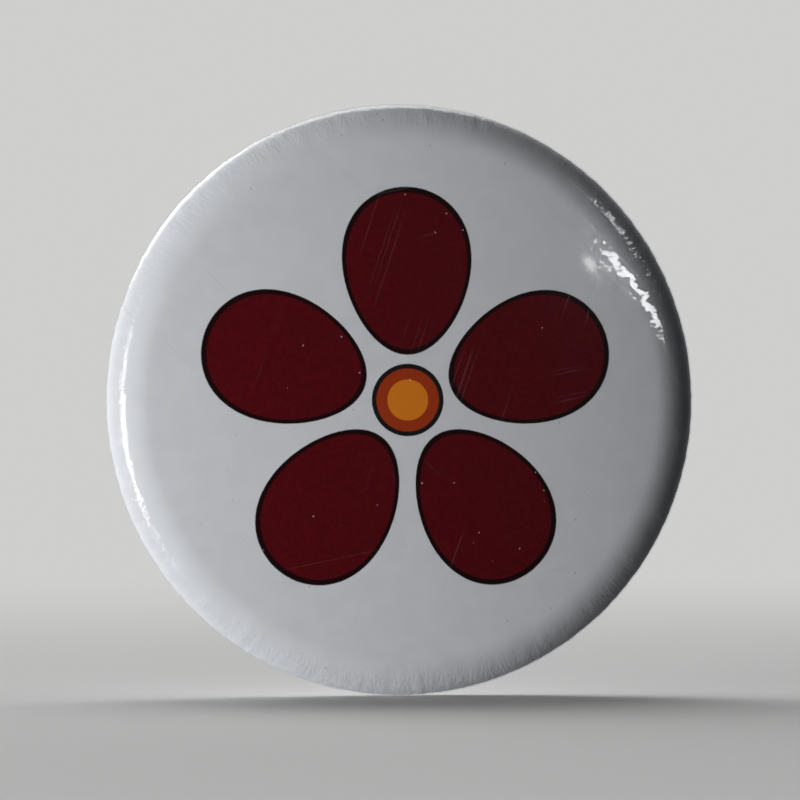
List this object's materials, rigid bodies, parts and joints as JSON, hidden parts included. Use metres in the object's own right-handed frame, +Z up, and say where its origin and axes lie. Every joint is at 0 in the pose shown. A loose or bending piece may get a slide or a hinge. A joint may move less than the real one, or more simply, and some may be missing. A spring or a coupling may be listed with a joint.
{
  "type": "button badge",
  "caption": "Round domed button badge, a printed paper under clear film on a tinplate shell, with a riveted bar pin and turning catch on its back.",
  "frame": {"origin": "middle of the bounding box: on the disc's axis, half way between the top of the dome and the rearmost point of the catch's thumb lever", "axes": "+Z up as the badge is worn, +X to the right seen from the front, the printed face towards -Y and the pin towards +Y"},
  "size_m": [0.058, 0.0112, 0.058],
  "materials": {
    "film": "clear polyester film, glossy, finely pleated where it turns over the rim",
    "print": "coated paper, light cool grey with a plain five-petal flower in maroon",
    "tinplate": "bright tinplate, 0.25 to 0.3 mm, with fine rolling lines",
    "plated_steel": "nickel-plated stamped steel, lightly tumbled",
    "rivet_metal": "aluminium rivet, satin",
    "needle_steel": "drawn steel wire, polished, ground point",
    "plated_brass": "nickel-plated brass, worn thin on the lever"
  },
  "bodies": {
    "badge_body": {"clear_film": "film", "printed_paper": "print", "front_shell": "tinplate", "back_plate": "tinplate", "pin_bar": "plated_steel", "bar_rivets": "rivet_metal", "hinge_rivet": "rivet_metal"},
    "needle_arm": {"needle": "needle_steel"},
    "catch_lock": {"catch_barrel": "plated_brass"}
  },
  "joints": [
    {"name": "needle_hinge", "type": "hinge", "parent": "badge_body", "child": "needle_arm", "pos_m": [-0.0125, 0.00302, 0.006], "axis": [0, 0, 1], "range_deg": [0, 100]},
    {"name": "catch_turn", "type": "hinge", "parent": "badge_body", "child": "catch_lock", "pos_m": [0.0125, 0.00302, 0.006], "axis": [1, 0, 0], "range_deg": [0, 90]}
  ]
}
